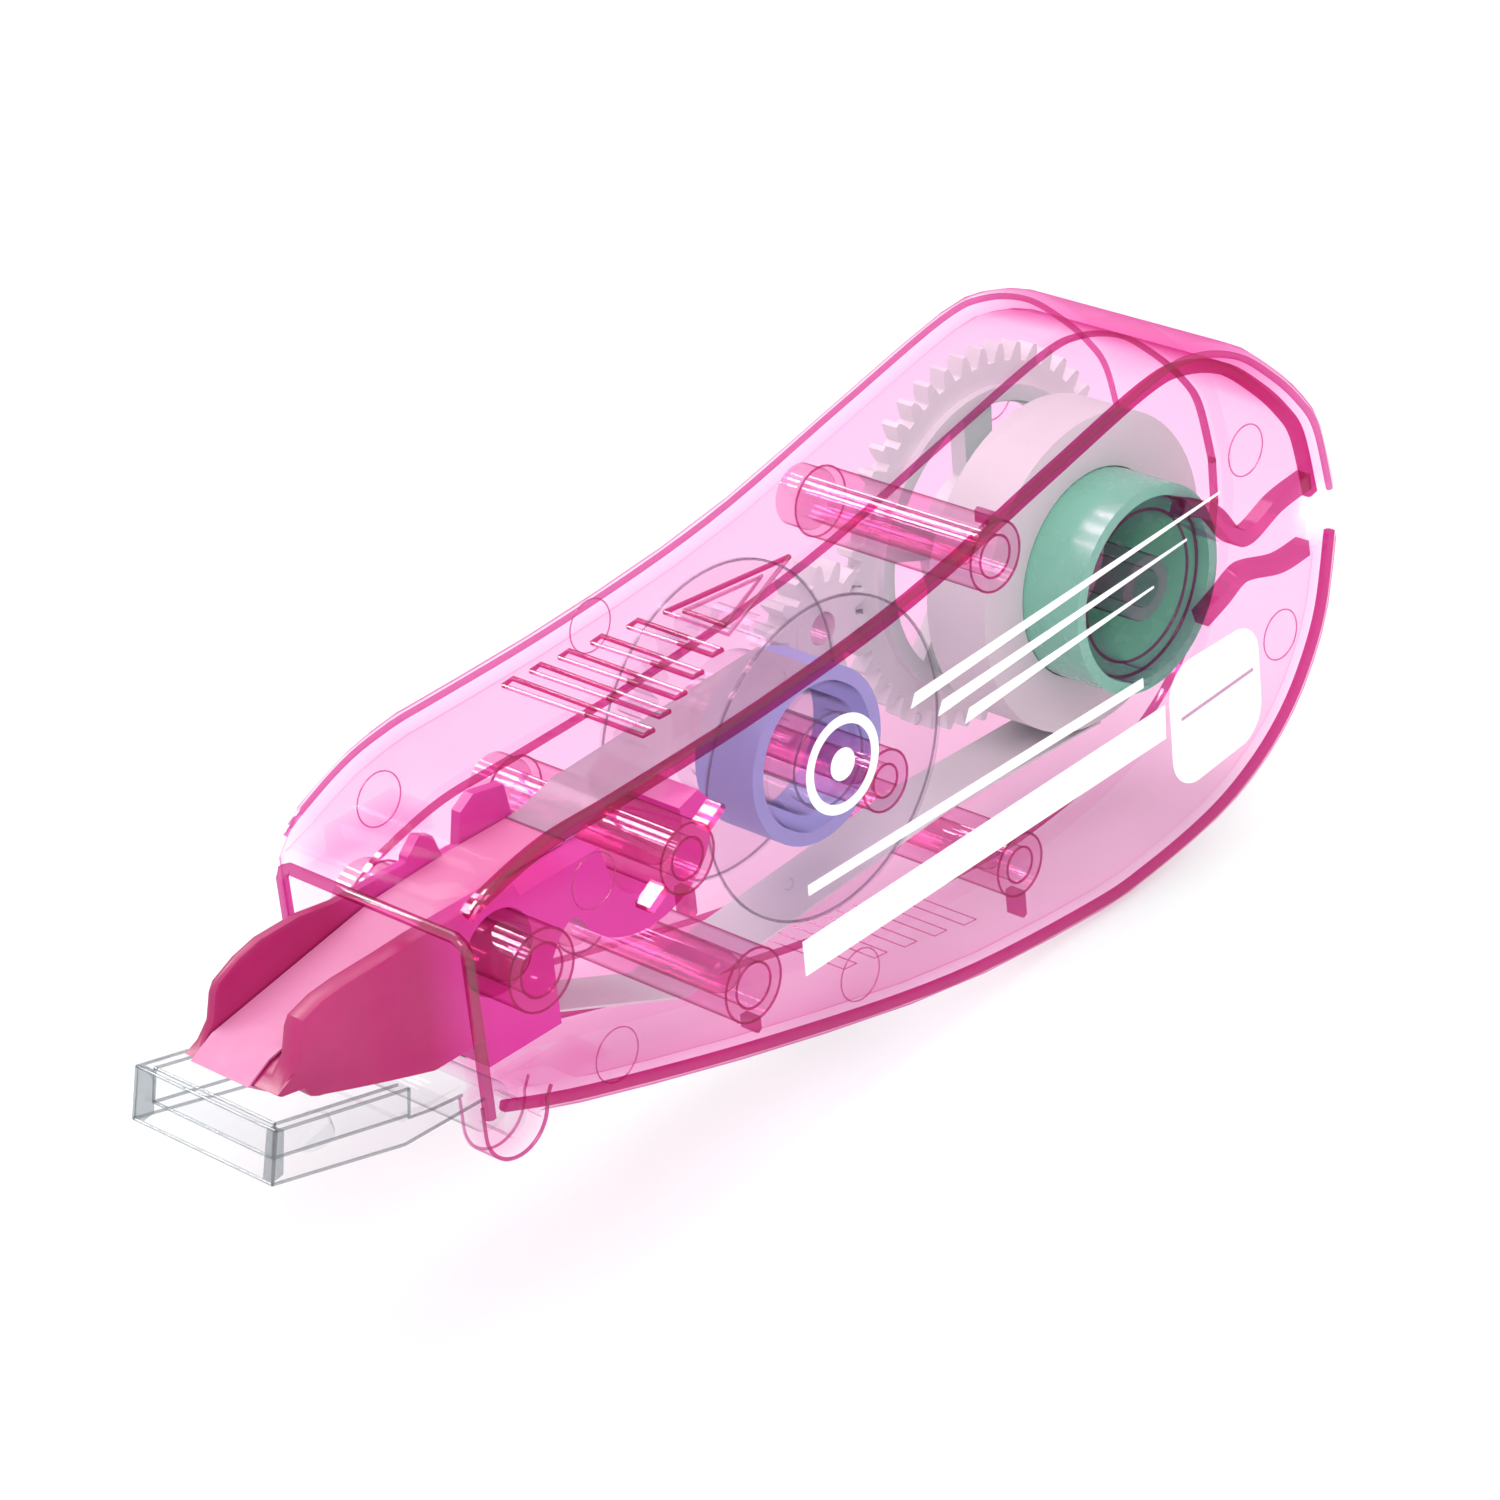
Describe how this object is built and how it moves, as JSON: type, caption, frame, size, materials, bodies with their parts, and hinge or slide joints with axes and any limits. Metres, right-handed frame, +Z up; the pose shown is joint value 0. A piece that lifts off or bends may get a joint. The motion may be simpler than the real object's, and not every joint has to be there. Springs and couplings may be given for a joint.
{
  "type": "correction tape roller",
  "caption": "See-through pink correction tape roller with a geared take-up reel, a solid tape head and a hinged clear tip cap.",
  "frame": {"origin": "middle of the bottom of the bounding box", "axes": "+X towards the rounded rear end, -X towards the tape tip, -Y the printed side, +Y the geared side, +Z up"},
  "size_m": [0.081, 0.0166, 0.0306],
  "materials": {
    "clear_pink_shell": "clear see-through pink, glossy",
    "clear_pink_posts": "clear see-through pink, glossy",
    "magenta_head": "satin magenta",
    "mint_core": "satin mint",
    "grey_gears": "satin pale grey",
    "clear_reel": "clear, glossy",
    "clear_cap": "clear with a faint grey tint, glossy",
    "white_tape": "matt white film",
    "pink_film": "thin film lit through the pink shell",
    "blue_liner": "matt blue-grey wound liner",
    "white_ink": "matt white pad print"
  },
  "bodies": {
    "housing": {"axle_idler": "clear_pink_posts", "axle_supply": "clear_pink_posts", "pin_front": "clear_pink_posts", "pin_guide": "clear_pink_posts", "pin_head": "clear_pink_posts", "pin_rear": "clear_pink_posts", "pin_takeup": "clear_pink_posts", "pin_top": "clear_pink_posts", "post_front": "clear_pink_posts", "post_guide": "clear_pink_posts", "post_head": "clear_pink_posts", "post_rear": "clear_pink_posts", "post_takeup": "clear_pink_posts", "post_top": "clear_pink_posts", "print_badge": "white_ink", "print_line": "white_ink", "print_strip": "white_ink", "shell_left": "clear_pink_shell", "shell_right": "clear_pink_shell", "tape_feed": "white_tape", "tape_head": "magenta_head", "tape_return": "pink_film", "tape_tip": "pink_film"},
    "roll": {"supply_core": "mint_core", "correction_roll": "white_tape"},
    "clutch_gear": {"supply_gear": "grey_gears"},
    "idler": {"idler_gear": "grey_gears"},
    "takeup": {"takeup_reel": "clear_reel", "takeup_gear": "clear_reel", "used_liner": "blue_liner"},
    "cap": {"tip_cap": "clear_cap"}
  },
  "joints": [
    {"name": "roll_spin", "type": "hinge", "parent": "housing", "child": "roll", "pos_m": [0.02549, 0, 0.01669], "axis": [0, 1, 0], "continuous": true},
    {"name": "gear_spin", "type": "hinge", "parent": "housing", "child": "clutch_gear", "pos_m": [0.02549, 0, 0.01669], "axis": [0, 1, 0], "continuous": true},
    {"name": "idler_spin", "type": "hinge", "parent": "housing", "child": "idler", "pos_m": [0.01132, 0, 0.01721], "axis": [0, 1, 0], "continuous": true},
    {"name": "takeup_spin", "type": "hinge", "parent": "housing", "child": "takeup", "pos_m": [0.0025, 0, 0.01556], "axis": [0, 1, 0], "continuous": true},
    {"name": "cap_hinge", "type": "hinge", "parent": "housing", "child": "cap", "pos_m": [-0.0265, 0, 0.01026], "axis": [0, -1, 0], "range_deg": [0, 145]}
  ],
  "couplings": [
    {"joint": "gear_spin", "follows": "roll_spin", "ratio": 0.96835},
    {"joint": "idler_spin", "follows": "roll_spin", "ratio": -3.1817},
    {"joint": "takeup_spin", "follows": "roll_spin", "ratio": 1.856}
  ]
}
